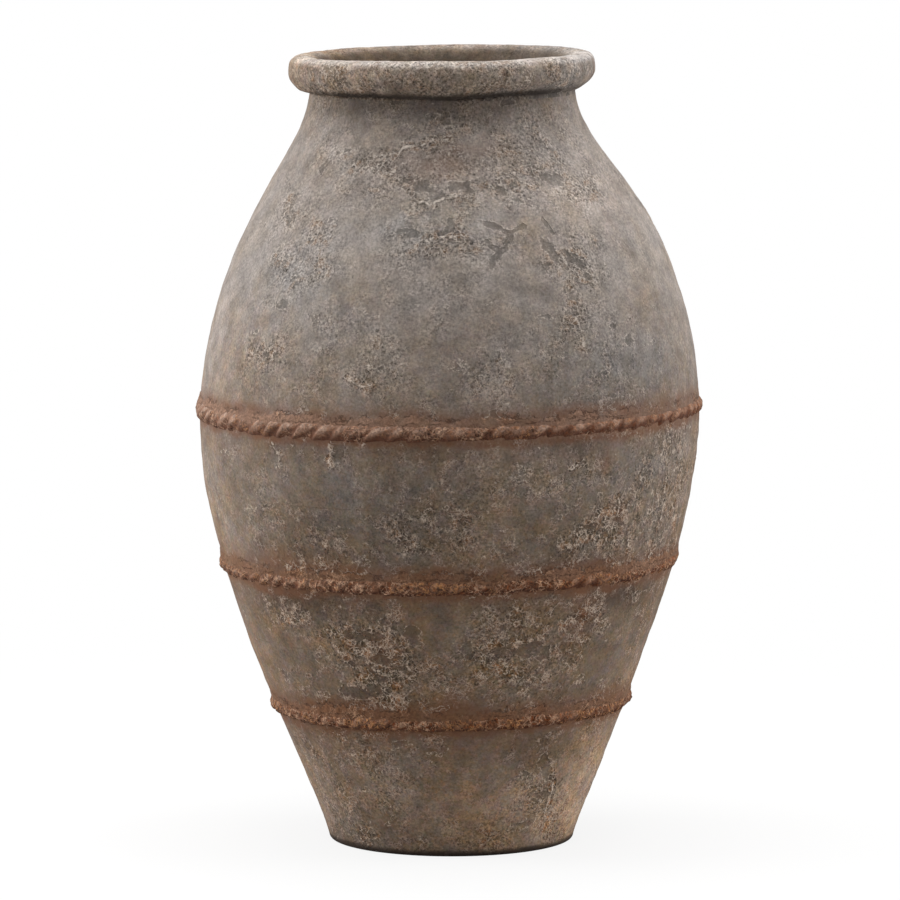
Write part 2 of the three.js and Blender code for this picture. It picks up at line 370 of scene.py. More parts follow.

# Strokes of weathering: flaked islands, each with its half width, and thin ridges and grooves.
# A stroke's line is a list of points, each a turn in degrees and a height.
LINE_HALF_WIDTH = 0.004
ISLANDS = [
    (0.0035, [(-14, 0.686), (-10.5, 0.681)]),
    (0.0065, [(-9.5, 0.681), (-6.5, 0.676), (-3, 0.669)]),
    (0.0050, [(1.5, 0.679), (6.5, 0.678)]),
    (0.0032, [(10.5, 0.643), (13.5, 0.640), (17, 0.635), (21.5, 0.641)]),
    (0.0032, [(17, 0.635), (15, 0.622), (11, 0.610), (10.5, 0.603)]),
    (0.0028, [(10, 0.627), (12.5, 0.619)]),
    (0.0050, [(26.5, 0.623), (28.5, 0.615), (29, 0.610)]),
    (0.0060, [(33.5, 0.608), (36.5, 0.601), (37.5, 0.590)]),
    (0.0022, [(28, 0.646), (30, 0.634)]),
    (0.0032, [(-3, 0.634), (0.5, 0.639), (0, 0.647)]),
    (0.0035, [(16.5, 0.674), (17.5, 0.674)]),
    (0.0035, [(22, 0.680), (22.5, 0.680)]),
    (0.0050, [(-27.5, 0.234), (-19, 0.234)]),
    (0.0065, [(-10, 0.240), (-9, 0.232)]),
    (0.0050, [(-21.5, 0.211), (-17.5, 0.209)]),
    (0.0065, [(-32.5, 0.175), (-22, 0.176)]),
    (0.0070, [(20.5, 0.218), (24, 0.224), (27.5, 0.214)]),
    (0.0045, [(5, 0.228), (5.5, 0.217)]),
    (0.0065, [(34.5, 0.100), (37.5, 0.088)]),
    (0.0060, [(187, 0.690), (193, 0.684), (197, 0.688)]),
    (0.0050, [(232, 0.592), (236, 0.583), (240, 0.570)]),
    (0.0055, [(170, 0.376), (175, 0.370), (178, 0.360)]),
    (0.0060, [(208, 0.224), (216, 0.220)]),
    (0.0050, [(100, 0.650), (105, 0.644), (108, 0.632)]),
]
RIDGES = [
    [(-25, 0.694), (-19, 0.690), (-15, 0.684), (-12.5, 0.675), (-9.5, 0.664)],
    [(-9.5, 0.664), (-5, 0.662), (-1, 0.669), (2.5, 0.669), (7, 0.669)],
    [(-23.5, 0.708), (-17, 0.709), (-15.5, 0.716), (-9, 0.717), (-6, 0.722), (2, 0.724)],
    [(-6.5, 0.629), (-2, 0.632), (0.5, 0.633), (4, 0.629), (5, 0.624)],
    [(-27.5, 0.430), (-27, 0.422), (-28, 0.413), (-27.5, 0.407)],
    [(-44, 0.426), (-43, 0.419), (-41.5, 0.414), (-42, 0.403)],
    [(-24.5, 0.495), (-23, 0.491), (-20.5, 0.488), (-18, 0.490)],
    [(40, 0.086), (42.5, 0.073), (43, 0.062), (42.5, 0.051), (42.5, 0.038)],
    [(60.5, 0.432), (60.5, 0.417), (60, 0.400)],
    [(60, 0.384), (60, 0.361), (60.5, 0.339)],
    [(60, 0.315), (58.5, 0.305)],
    [(43, 0.353), (43.5, 0.363), (42.5, 0.373)],
    [(48, 0.326), (49, 0.316)],
    [(28.5, 0.403), (30, 0.407), (31.5, 0.409)],
    [(200, 0.676), (192, 0.672), (184, 0.680), (176, 0.676)],
    [(150, 0.412), (151, 0.398), (149.5, 0.384)],
]
GROOVES = [
    [(24, 0.453), (30.5, 0.456), (37, 0.454), (42.5, 0.450)],
    [(43.5, 0.065), (47, 0.075), (53, 0.081)],
    [(41, 0.086), (44, 0.073), (44.5, 0.062), (44, 0.051)],
    [(140, 0.452), (150, 0.456), (160, 0.451)],
]


def patches(table, turn, height):
    """The strongest patch at each place: strength exp(-(arc / half width)^2 - (rise / half height)^2)."""
    found = np.zeros(np.broadcast(turn, height).shape, np.float32)
    for degrees, middle, half_width, half_height, strength in table:
        swing = np.mod(turn - np.radians(degrees) + np.pi, 2 * np.pi) - np.pi
        arc = swing * outer_radius(middle)
        bump = strength * np.exp(-((arc / half_width) ** 2) - ((height - middle) / half_height) ** 2)
        found = np.maximum(found, bump)
    return found


def strokes(table, turn, height):
    """How far inside the nearest stroke each place is: 1 - distance from its line / half width."""
    found = np.full(np.broadcast(turn, height).shape, -9, np.float32)
    for half_width, line in table:
        for (turn_a, height_a), (turn_b, height_b) in zip(line, line[1:]):
            radius = outer_radius((height_a + height_b) / 2)
            arc = (np.mod(turn - np.radians(turn_a) + np.pi, 2 * np.pi) - np.pi) * radius
            run, rise = np.radians(turn_b - turn_a) * radius, height_b - height_a
            part = np.clip((arc * run + (height - height_a) * rise) / (run**2 + rise**2), 0, 1)
            gap = np.hypot(arc - part * run, height - height_a - part * rise)
            found = np.maximum(found, 1 - gap / half_width)
    return found


# The bands were laid a little askew, and their clay was smeared up the wall above them
BAND_TILT = 0.003
BAND_WANDER = 0.0009
SMEAR_REACH = 0.0145
SMEAR_EDGE = 0.0009
SMEAR_DEPTH = 0.0028
SMEAR_CRUMBS = 0.0007
BAND_FOOT = 0.0004
RUST_FALL = 0.017
RUST_REACH = 0.045


def band_line(centre, turn, place):
    """Height of a band's centre line: level, plus its tilt towards +X and a small wander of the hand."""
    return centre + BAND_TILT * np.sin(turn) + BAND_WANDER * ripple(place * (1, 1, 0), 0.07, 30)


def heap(turn, place):
    """How much of a band's clay is smeared up the wall: uneven, and above the upper band more on the left."""
    lopsided = 0.45 * smooth(place[..., 2], 0.30, 0.42)
    return np.clip(0.55 - lopsided * np.sin(turn) + 0.5 * layered(place, 0.06, 48, 2), 0.1, 1)


def crease_shadow_strength(turn):
    """How dark the painted shadow and soot in the crease under the rim are: 1 at the front and back, and 0.3
    at both sides.
    """
    return 1 - 0.7 * smooth(np.abs(np.sin(turn)), 0.72, 0.95)


# Depths of the wall's unevenness, of the coils' faint ridges, of the crust and of the flaked spots
WALL_SWELL = 0.0011
COIL_SWELL = 0.0004
CRUST_DEPTH = 0.0003
CRUST_GRAIN = 0.0006
FLAKE_DEPTH = 0.0004
# How dark the painted shadow of the rim, with soot, is on the neck just below it
NECK_SHADOW_AND_SOOT = 0.46

# Noise is squashed in height by these, for flaked spots that are wider than tall and for the coils
SPOT_SQUASH = (1, 1, 1.7)
COIL_SQUASH = (1, 1, 3)


def weather(turn, height):
    """Relief and masks of the outer face at these places, from noise and the tables above.

    Above each band its clay is smeared up the wall: a wedge that thins to a low, ragged step.
    The over and feather masks are centimetres above the band's line and inside the smear's edge.
    """
    place = around(turn, outer_radius(height), height)

    # Crust by height with patches, and flaked spots where strokes or noise bare the clay
    flat = place * SPOT_SQUASH
    drift = layered(place, 0.055, 3, 4)
    crust = np.interp(height, CRUST_HEIGHTS, CRUST_LEVELS) + 0.26 * drift
    crust = crust + patches(CRUSTED, turn, height) - patches(SMOOTH, turn, height)
    drawn = strokes(ISLANDS, turn, height) + 0.80 * layered(flat, 0.012, 11, 2)
    bare = ripple(flat, 0.027, 15) + 0.35 * layered(flat, 0.010, 16, 2) + 0.6 * (crust - 0.8)
    flake = np.clip(np.maximum(drawn, 2.2 * (bare - 0.50)), -1, 1)
    shaken = height + 0.0018 * layered(place, 0.009, 18, 2)
    ridge = strokes([(LINE_HALF_WIDTH, line) for line in RIDGES], turn, shaken)
    crust = crust + 0.40 * smooth(ridge, -0.6, 0.5)
    groove = strokes([(LINE_HALF_WIDTH, line) for line in GROOVES], turn, shaken)

    # The nearest band's smear, and the rust above and below it
    nearest = np.argmin(np.abs(height - np.array(band_heights)), axis=1)
    above = height - band_line(np.array(band_heights)[nearest][:, None], turn, place)
    reach = SMEAR_REACH + 0.005 * layered(place, 0.04, 40, 2)
    ragged = above + 0.0022 * layered(place, 0.008, 45, 2)
    smear = smooth(reach - ragged, -0.0006, 0.0014) * smooth(above, -0.004, 0.004)
    wedge = np.clip((reach - above) / (reach - 0.006), 0, 1)
    crumbs = SMEAR_CRUMBS * layered(place, 0.006, 46, 2)
    heaped = heap(turn, place)
    swell = smear * heaped * (SMEAR_EDGE + SMEAR_DEPTH * wedge**1.2 + crumbs)
    swell += BAND_FOOT * smooth(-above, 0.014, 0.006) * (above < 0)
    fall = RUST_FALL + 0.007 * layered(place, 0.03, 47, 3)
    near = np.where(above > 0, 0.75 * smooth(above, reach + 0.014, reach), smooth(-above, fall, 0.5 * fall))
    far = smooth(np.abs(above), RUST_REACH, 0.010)
    rust = 0.95 * near + 0.30 * far + 0.9 * patches(RUSTED, turn, height)
    rust = rust * (0.85 + 0.5 * layered(place, 0.022, 50))

    # Colour: cool and earthy parts, soot with painted shade at the foot, painted shadow with soot under the
    # rim, pale and stained parts
    cool = 0.8 * patches(COOL, turn, height) + 0.18 + 0.4 * layered(place, 0.08, 71)
    earth = np.interp(height, EARTH_HEIGHTS, EARTH_LEVELS) + 0.22 * layered(place, 0.07, 75)
    # Soot with painted shade: a dark line along the foot's lower edge where it meets the floor, and painted
    # shadow of the rim with soot on the neck below it, less at the sides
    soot_and_shade = smooth(height + 0.001 * drift, 0.008, 0.003) + 0.22 * smooth(height, 0.03, 0.005)
    soot_and_shade = soot_and_shade + NECK_SHADOW_AND_SOOT * smooth(height, seams[-1] - 0.030, seams[-1] - 0.002) * crease_shadow_strength(turn)

    tone = np.interp(height, TONE_HEIGHTS, TONE_LEVELS)
    tone = tone + patches(PALER, turn, height) - patches(STAINED, turn, height)

    relief = WALL_SWELL * layered(place, 0.16, 81, 2)
    relief += COIL_SWELL * layered(place * COIL_SQUASH, 0.05, 85, 2)
    relief += smooth(crust, 0.3, 0.9) * (CRUST_DEPTH + CRUST_GRAIN * layered(place, 0.009, 91, 2))
    relief += swell - FLAKE_DEPTH * smooth(flake, -0.2, 0.4)
    return relief, {
        "crust": np.clip(crust, 0, 1),
        "flake": flake,
        "ridge": np.clip(ridge, -1, 1),
        "groove": np.clip(groove, -1, 1),
        "streak": patches(STREAKED, turn, height),
        "rust": np.clip(rust, 0, 1),
        "cool": np.clip(cool, 0, 1),
        "earth": np.clip(earth, 0, 1),
        "soot_and_shade": np.clip(soot_and_shade, 0, 1),
        "tone": tone,
        "over": np.clip(100 * above, -3, 3),
        "heaped": heaped + 0 * above,
        "feather": np.clip(100 * (reach - ragged), -3, 3),
    }


def ring_mesh(name, points, masks, corners=(), closed=True):
    """A mesh of quads over a grid of points, rows of a section by columns round the jar, with its masks."""
    rows, columns = points.shape[:2]
    row = np.arange(rows if closed else rows - 1)[:, None]
    column = np.arange(columns)[None, :]
    next_row = (row + 1) % rows
    next_column = (column + 1) % columns
    quads = [row * columns + column, row * columns + next_column]
    quads += [next_row * columns + next_column, next_row * columns + column]
    faces = np.stack(quads, axis=-1).reshape(-1, 4)
    mesh = bpy.data.meshes.new(name)
    mesh.from_pydata(points.reshape(-1, 3), [], faces)
    mesh.polygons.foreach_set("use_smooth", np.ones(len(mesh.polygons), bool))
    ends = np.empty(2 * len(mesh.edges), np.int32)
    mesh.edges.foreach_get("vertices", ends)
    end_rows = ends.reshape(-1, 2) // columns
    sharp = (end_rows[:, 0] == end_rows[:, 1]) & np.isin(end_rows[:, 0], corners)
    mesh.attributes.new("sharp_edge", "BOOLEAN", "EDGE").data.foreach_set("value", sharp)
    for key, mask in masks.items():
        values = np.broadcast_to(mask, points.shape[:2])
        kept = mesh.attributes.new(key, "FLOAT", "POINT")
        kept.data.foreach_set("value", np.ascontiguousarray(values, np.float32).ravel())
    mesh.update()
    piece = bpy.data.objects.new(name, mesh)
    bpy.context.collection.objects.link(piece)
    return piece


class Wire:
    """A socket of a material's nodes. Arithmetic with numbers or other wires adds Math nodes."""

    def __init__(self, socket):
        self.socket = socket
        self.tree = socket.id_data

    def node(self, kind, settings=None, sockets=None, output=0):
        """Adds a node: first its settings, then its sockets, by name or number, from values or wires."""
        made = self.tree.nodes.new("ShaderNode" + kind)
        for key, value in (settings or {}).items():
            setattr(made, key, value)
        for key, value in (sockets or {}).items():
            if isinstance(value, Wire):
                self.tree.links.new(value.socket, made.inputs[key])
            else:
                made.inputs[key].default_value = value
        return Wire(made.outputs[output]) if made.outputs else None

    def math(self, operation, first, second=0.0):
        """The result of a Math node on one or two values or wires."""
        return self.node("Math", {"operation": operation}, {0: first, 1: second})

    def __add__(self, other):
        return self.math("ADD", self, other)

    def __sub__(self, other):
        return self.math("SUBTRACT", self, other)

    def __mul__(self, other):
        return self.math("MULTIPLY", self, other)

    def __rsub__(self, other):
        return self.math("SUBTRACT", other, self)

    __radd__ = __add__
    __rmul__ = __mul__

    def most(self, other):
        """The larger of this wire and another."""
        return self.math("MAXIMUM", self, other)

    def size(self):
        """How far this wire is from 0."""
        return self.math("ABSOLUTE", self)

    def step(self, low, high):
        """Goes smoothly from 0 at low to 1 at high."""
        return self.node("MapRange", {"interpolation_type": "SMOOTHSTEP"}, {0: self, 1: low, 2: high})

    def tint(self, first, second):
        """The first colour where this wire is 0, the second where it is 1."""
        return self.node("Mix", {"data_type": "RGBA"}, {0: self, 6: first, 7: second}, 2)

    def stain(self, colour, filter_colour):
        """The colour where this wire is 0, and the colour times the filter where it is 1."""
        settings = {"data_type": "RGBA", "blend_type": "MULTIPLY"}
        return self.node("Mix", settings, {0: self, 6: colour, 7: filter_colour}, 2)

    def times(self, number):
        """This colour made lighter or darker by a number."""
        return self.node("VectorMath", {"operation": "SCALE"}, {0: self, "Scale": number})


def paint(red, green, blue):
    """A colour given in screen values from 0 to 255, as the linear values that a shader takes."""
    screen = np.array([red, green, blue]) / 255
    return (*np.where(screen <= 0.04045, screen / 12.92, ((screen + 0.055) / 1.055) ** 2.4), 1)


def clay_nodes(name):
    """A new material's place wire, and functions for noise grain of a size and for its masks."""
    material = bpy.data.materials.new(name)
    material.use_nodes = True
    place = Wire(material.node_tree.nodes.new("ShaderNodeTexCoord").outputs["Object"])

    def grain(size, detail=3.0, roughness=0.6, at=place):
        sockets = {"Vector": at, "Scale": 1 / size, "Detail": detail, "Roughness": roughness}
        return place.node("TexNoise", {}, sockets)

    def mask(key):
        return place.node("Attribute", {"attribute_name": key}, output="Fac")

    return material, place, grain, mask


CLAY_GLOSS = 0.25
BUMP_STRENGTH = 0.8


def finish_clay(material, colour, roughness, relief, depth):
    """Joins the colour, roughness and relief to the material's shader, matt and without gloss."""
    tree = material.node_tree
    shader = tree.nodes["Principled BSDF"]
    tree.links.new(colour.socket, shader.inputs["Base Color"])
    tree.links.new(roughness.socket, shader.inputs["Roughness"])
    shader.inputs["Specular IOR Level"].default_value = CLAY_GLOSS
    normal = colour.node("Bump", {}, {"Strength": BUMP_STRENGTH, "Distance": depth, "Height": relief})
    tree.links.new(normal.socket, shader.inputs["Normal"])


# The crust's nets: the sizes of their cells, and how finely and how far they are bent
NET_SIZE = 0.0060
FINE_NET_SIZE = 0.0036
SWAY_SCALE = 170.0
SWAY_REACH = (0.008, 0.008, 0.008)


def lace_over(place, grain, crust):
    """Pale threads and dark hollows of crust of this thickness, and how rough and how thick it is there.

    Thick crust is a net: threads along the edges of bent cells, with hollows between them. Thinner crust has
    a finer net, lone threads where a noise crosses its middle, and pits where another noise is low.
    """
    sway = place.node("TexNoise", {}, {"Vector": place, "Scale": SWAY_SCALE, "Detail": 2.0}, "Color")
    bent = place.node("VectorMath", {"operation": "MULTIPLY_ADD"}, {0: sway, 1: SWAY_REACH, 2: place})

    def from_edge(size):
        return place.node("TexVoronoi", {"feature": "DISTANCE_TO_EDGE"}, {"Vector": bent, "Scale": 1 / size})

    zone = crust + 1.2 * (grain(0.022) - 0.5)
    rough = zone.step(0.22, 0.80)
    thick = zone.step(0.55, 0.85)
    cell = from_edge(NET_SIZE)
    net = (1 - cell.step(0.012, 0.078)) * thick * grain(0.008, 2.0).step(0.42, 0.54)
    fine_net = (1 - from_edge(FINE_NET_SIZE).step(0.02, 0.11)) * rough * grain(0.011, 2.0).step(0.50, 0.60)
    lone = 1 - (grain(0.010, 1.5, 0.5, bent) - 0.5).size().step(0.005, 0.020)
    lone = lone * rough * grain(0.017, 1.0).step(0.52, 0.60)
    pits = (1 - (grain(0.0030, 2.0, 0.6, bent) - 0.09 * rough).step(0.26, 0.32)) * rough
    hollows = cell.step(0.07, 0.22) * thick
    return net.most(0.7 * fine_net).most(lone), pits.most(0.5 * hollows), rough, thick


# Screen colours of the grey clay, at the shoulder and at the foot, and of what lies on it
GREY_CLAY = (138, 130, 124)
EARTHY_CLAY = (112, 99, 87)
RUST_STAIN = (107, 69, 47)
FRESH_CLAY = (150, 122, 98)
SMEAR_GREY = (130, 101, 84)
SMEAR_RED = (108, 74, 52)
GREY_THREAD = (204, 193, 183)
EARTHY_THREAD = (222, 202, 184)
SMEAR_THREAD = (196, 146, 108)
# The dark colour of soot, and of painted shade and shadow at the foot and under the rim
SOOT_AND_SHADE = (34, 25, 19)

# Casts, which a colour is multiplied by
COOL_CAST = (0.90, 0.965, 1.03, 1)
SANDY_CAST = (1.10, 1.0, 0.87, 1)
PINK_CAST = (1.03, 0.935, 1.02, 1)
STRAW_CAST = (1.07, 0.99, 0.84, 1)
CRUST_CAST = (0.80, 0.77, 0.73, 1)
FLAKE_CAST = (0.56, 0.56, 0.55, 1)
RUST_CAST = (1.15, 0.93, 0.69, 1)
MOSS_CAST = (0.84, 0.94, 0.84, 1)
OCHRE_CAST = (1.38, 0.98, 0.58, 1)
HOLLOW_CAST = (0.40, 0.37, 0.34, 1)
# Painted shade, browner, for the jar's inner faces
INSIDE_SHADE_CAST = (0.37, 0.33, 0.28, 1)

DRIP_SQUASH = (1.0, 1.0, 0.33)
GREY_BUMP_DEPTH = 0.0014


def weathered_clay(name, upper, lower, lace=1.0, grit=1.0):
    """Old unglazed clay: a mottled ground, flaked spots, pale lace over dark hollows, rust, soot mixed with
    painted shade, and painted shade inside.

    The ground goes from the upper to the lower colour as it gets earthier. Lace and grit are the strengths
    of the pale threads and of the sandy grain.
    """
    material, place, grain, mask = clay_nodes(name)
    inside = mask("inside")
    pale, dark, rough, thick = lace_over(place, grain, mask("crust") * (1 - 0.6 * inside))
    speck = grain(0.0026, 2.0, 0.75)
    blotch = grain(0.020, 4.0)
    cloud = grain(0.045)
    earth = mask("earth")
    island = mask("flake") + 0.9 * (grain(0.0045, 2.0) - 0.5) + 0.7 * (grain(0.0020, 2.0) - 0.5)
    crumb = grain(0.0034, 2.0, 0.7).step(0.55, 0.64)
    flake = island.step(-0.08, 0.32) * (1 - 0.7 * crumb)
    lip = island.step(-0.30, -0.12) * (1 - island.step(-0.08, 0.06)) * speck.step(0.40, 0.58)
    ragged = 0.9 * (grain(0.004, 2.0) - 0.5)
    ridge = (mask("ridge") + ragged).step(0.66, 0.88) * grain(0.0065, 2.0).step(0.43, 0.54)
    groove = (mask("groove") + ragged).step(0.62, 0.86) * grain(0.009).step(0.44, 0.54)
    streak = mask("streak")
    tall = place.node("VectorMath", {"operation": "MULTIPLY"}, {0: place, 1: DRIP_SQUASH})
    combed = grain(0.0030, 2.0, 0.65, tall) - 0.5
    drips = 1 - (grain(0.0075, 2.0, 0.5, tall) - 0.5).size().step(0.006, 0.026)
    drips = drips * streak * grain(0.012).step(0.46, 0.56)
    pale = (pale * (1 - 0.95 * flake) * (0.88 * lace)).most(0.6 * lip).most(0.85 * drips).most(0.95 * ridge)
    dark = dark * (1 - 0.9 * flake)

    ground = earth.tint(paint(*upper), paint(*lower))
    ground = mask("cool").stain(ground, COOL_CAST)
    varied = 0.12 + 0.88 * earth
    ground = (grain(0.0127).step(0.40, 0.60) * varied).stain(ground, SANDY_CAST)
    ground = (grain(0.0109).step(0.42, 0.62) * varied).stain(ground, PINK_CAST)
    ground = (cloud.step(0.42, 0.66) * (0.3 + 0.7 * earth)).stain(ground, STRAW_CAST)
    ground = ground.times(mask("tone") * (0.34 + 1.32 * blotch))
    ground = (thick * (0.4 + 0.4 * earth)).stain(ground, CRUST_CAST)
    flake_shade = (0.95 - 0.45 * earth) * (0.45 + 1.1 * grain(0.007))
    ground = (flake * flake_shade).stain(ground, FLAKE_CAST)
    sanded = (1.5 + 2.5 * rough) * grit * (speck - 0.5) + 1.5 * streak * combed
    ground = ground.times(1 + (1 - 0.4 * flake) * sanded)
    rusty = grain(0.0036, 2.0).step(0.54, 0.68) * varied
    ground = (rusty * 0.62).stain(ground, RUST_CAST)
    mossy = grain(0.0044, 2.0).step(0.56, 0.68) * varied
    ground = (mossy * 0.85).stain(ground, MOSS_CAST)
    colour = (mask("rust") * (0.20 + 0.9 * blotch)).tint(ground, paint(*RUST_STAIN))
    fresh = thick * grain(0.011).step(0.53, 0.63) * (1 - flake)
    colour = (fresh * 0.5).tint(colour, paint(*FRESH_CLAY))
    ochre = thick * grain(0.0095).step(0.52, 0.62) * earth * (1 - flake)
    colour = (ochre * 0.7).stain(colour, OCHRE_CAST)
    feather = mask("feather") + 1.6 * (grain(0.0045, 2.0) - 0.5)
    smear = feather.step(0.0, 0.14) * mask("over").step(-0.9, -0.5)
    smear_colour = earth.step(0.5, 0.9).tint(paint(*SMEAR_GREY), paint(*SMEAR_RED))
    smear_colour = smear_colour.times(1 + 2.6 * (speck - 0.5))
    colour = (smear * mask("heaped") * (0.1 + 1.4 * blotch)).tint(colour, smear_colour)
    crease = 1 - (feather + 0.05).size().step(0.02, 0.14)
    jitter = 0.7 * grain(0.012) + 0.6 * grain(0.004)
    crack = 1 - (mask("over") - 0.25 - jitter).size().step(0.02, 0.07)
    creased = (crease.most(crack) * grain(0.020).step(0.46, 0.56)).most(groove)
    colour = (dark.most(creased * 0.8) * 0.85).stain(colour, HOLLOW_CAST)
    thread_colour = earth.tint(paint(*GREY_THREAD), paint(*EARTHY_THREAD))
    thread_colour = (smear * 0.8).tint(thread_colour, paint(*SMEAR_THREAD))
    colour = (pale * (0.30 + 0.9 * speck)).tint(colour, thread_colour)
    # Painted shade, browner, on the inner faces and into the mouth
    colour = (inside * 0.9).stain(colour, INSIDE_SHADE_CAST)
    # Soot with painted shade: the dark line along the foot, painted shadow with soot under the rim, and soot
    # on the floor's underside
    colour = (mask("soot_and_shade") * 0.95).tint(colour, paint(*SOOT_AND_SHADE))

    relief = 0.55 * rough * speck + 0.25 * blotch + 0.7 * pale - 0.9 * dark - 0.8 * creased - 0.4 * flake
    finish_clay(material, colour, 0.97 - 0.15 * flake, relief + 0.5 * smear * speck, GREY_BUMP_DEPTH)
    return material


# Mask values that draw nothing, for faces without weathering. Masks that aren't named here are 0 there.
PLAIN = {"tone": 1, "earth": 0.5, "over": 3, "feather": -3, "flake": -1, "ridge": -1, "groove": -1}

FLOOR_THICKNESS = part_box("floor_disc")[1].z
FOOT_EDGE_ROUND = 0.003
FLOOR_SWELL = 0.0006
LOWEST_WEATHER = 0.0005
WELD_REACH = 0.00001
WALL_COLUMNS = 900
UNDER_ROWS = 40
EDGE_ROWS = 14
SIDE_ROWS = 3
TOP_ROWS = 30

# The surface runs out along the underside, round the edge, up the side to the first seam, and in over the top
wall_turn = np.linspace(-np.pi, np.pi, WALL_COLUMNS, endpoint=False)[None, :]
floor_turn = wall_turn[:, ::2]
bend = np.linspace(-np.pi / 2, 0, EDGE_ROWS)[:, None]
edge_height = FOOT_EDGE_ROUND * (1 + np.sin(bend))
edge_relief, edge_masks = weather(floor_turn, np.maximum(edge_height, LOWEST_WEATHER))
edge_inset = FOOT_EDGE_ROUND * (1 - np.cos(bend)) - edge_relief * smooth(edge_height, 0, FOOT_EDGE_ROUND)
edge = around(floor_turn, outer_radius(edge_height) - edge_inset, edge_height)
side_height = np.linspace(FOOT_EDGE_ROUND, seams[0], SIDE_ROWS + 1)[1:, None]
side_relief, side_masks = weather(floor_turn, side_height)
side = off_wall(floor_turn, side_height, side_relief)
underside = np.linspace(0, 1, UNDER_ROWS, endpoint=False)[:, None, None] * edge[:1]
inward = np.linspace(1, 0, TOP_ROWS)[:, None]
top = around(floor_turn, inward * inner_radius(FLOOR_THICKNESS), FLOOR_THICKNESS + 0 * inward)
top[1:-1, :, 2] += FLOOR_SWELL * layered(top[1:-1], 0.03, 97)
floor_points = np.concatenate([underside, edge, side, top])

floor_masks = {}
for key in edge_masks:
    blank_under = np.full(underside.shape[:2], PLAIN.get(key, 0.0))
    blank_top = np.full(top.shape[:2], PLAIN.get(key, 0.0))
    floor_masks[key] = np.concatenate([blank_under, edge_masks[key], side_masks[key], blank_top])
floor_masks["soot_and_shade"][:UNDER_ROWS] = 0.45 + 0.25 * layered(underside, 0.04, 98)
floor_masks["earth"][:UNDER_ROWS] = 1.0
floor_masks["crust"][:UNDER_ROWS] = 0.35 + 0.3 * layered(underside, 0.03, 99)
top_row = UNDER_ROWS + EDGE_ROWS + SIDE_ROWS
floor_masks["inside"] = (np.arange(len(floor_points)) >= top_row)[:, None]

floor_disc = ring_mesh("floor_disc_clay", floor_points, floor_masks, (top_row - 1, top_row), closed=False)
weld = floor_disc.modifiers.new("weld_poles", "WELD")
weld.merge_threshold = WELD_REACH
floor_disc.data.materials.append(weathered_clay("floor_clay", GREY_CLAY, EARTHY_CLAY))
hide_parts("floor_disc")
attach(floor_disc, "root")

# The strakes: five rings of the same clay, each built up on the sloped edge of the one below and luted to it.
# Their outer faces run on without a step, and years outdoors have left them grey, crusted and flaked.

OUTER_ROWS = 96
INNER_ROWS = 12
THUMBED_DEPTH = 0.0007
MOUTH_FADE = 0.02

wall_clay = weathered_clay("weathered_clay", GREY_CLAY, EARTHY_CLAY)
from_axis = np.stack([np.sin(wall_turn), -np.cos(wall_turn), 0 * wall_turn], axis=-1)

for index, name in enumerate(STRAKES):
    low, high = seams[index], seams[index + 1]
    outer_height = np.linspace(low, high, OUTER_ROWS)[:, None]
    relief, masks = weather(wall_turn, outer_height)
    outer = off_wall(wall_turn, outer_height, relief)

    # The inner face is pressed with the thumb, in dents that end below the mouth
    inner_height = np.linspace(high + SCARF_RISE, low + SCARF_RISE, INNER_ROWS)[:, None]
    inner = around(wall_turn, inner_radius(inner_height), inner_height)
    below_mouth = smooth(seams[-1] + SCARF_RISE - inner_height, 0, MOUTH_FADE)
    thumbed = THUMBED_DEPTH * below_mouth * ripple(inner * (1, 1, 5), 0.07, 95)
    inner = inner + thumbed[..., None] * from_axis

    for key in masks:
        blank = np.full(inner.shape[:2], PLAIN.get(key, 0.0))
        masks[key] = np.concatenate([masks[key], blank])
    masks["inside"] = (np.arange(OUTER_ROWS + INNER_ROWS) >= OUTER_ROWS)[:, None]
    corners = (0, OUTER_ROWS - 1, OUTER_ROWS, OUTER_ROWS + INNER_ROWS - 1)
    strake = ring_mesh(name + "_clay", np.concatenate([outer, inner]), masks, corners)
    strake.data.materials.append(wall_clay)
    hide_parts(name)
    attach(strake, "root")

# The rope bands: strips of iron-red clay pressed over the three lower seams and notched on the slant
# with a rounded tool, so that they look like laid rope. Wear has rounded them, and crust fills some notches.

STRAND_PITCH = 0.0203
STRAND_STEPS = 20
STRAND_SLANT = 0.85
STRAND_WANDER = 0.36
STRAND_SIZES = (0.50, 1.15)
BAND_HALF_WIDTH = 0.0092
BAND_RELIEF = 0.0068
BAND_SINK = 0.0012
BAND_BACK = -0.003
EDGE_CRUMBS = 0.0012
BAND_FRONT_ROWS = 28

# For each band from the lowest: how full its notches are, how deep its crumbs are, how thick its crust is,
# how red it is, how slim it is and how much slimmer towards the right, and how soft its lower edge is
FILLED = [0.20, -0.05, -0.08]
CRUMBLED = [0.0013, 0.0012, 0.0011]
CRUSTY = [0.70, 0.74, 0.42]
IRON = [1.0, 0.8, 0.1]
SLIM = [0.92, 0.88, 0.88]
SLIMMING = [0.0, 0.0, 0.14]
SOFTENED = [1.4, 1.2, 0.8]

# Each band's worn stretches: the turn of the middle, and how worn it is there
WORN = [
    [(0.1, 0.40), (-0.7, 0.3)],
    [(0.0, 0.35), (0.55, 0.40)],
    [(0.1, 0.65), (-0.9, 0.50), (0.75, 0.20), (2.4, 0.4), (-2.3, 0.4)],
]
WORN_HALF_TURN = 0.28

# Screen colours of the iron-red clay, greyer and redder, and of what lies on it
ROPE_GREY = (126, 97, 81)
ROPE_RED = (109, 70, 46)
ROPE_DUST = (122, 95, 80)
ROPE_ORANGE = (128, 80, 54)
# Painted shade with dirt in the notches between strands
TROUGH_SHADE_AND_DIRT = (84, 51, 36)
# Painted shade with dirt on the band's lower half
BAND_UNDERSHADE_AND_DIRT = (84, 52, 37)
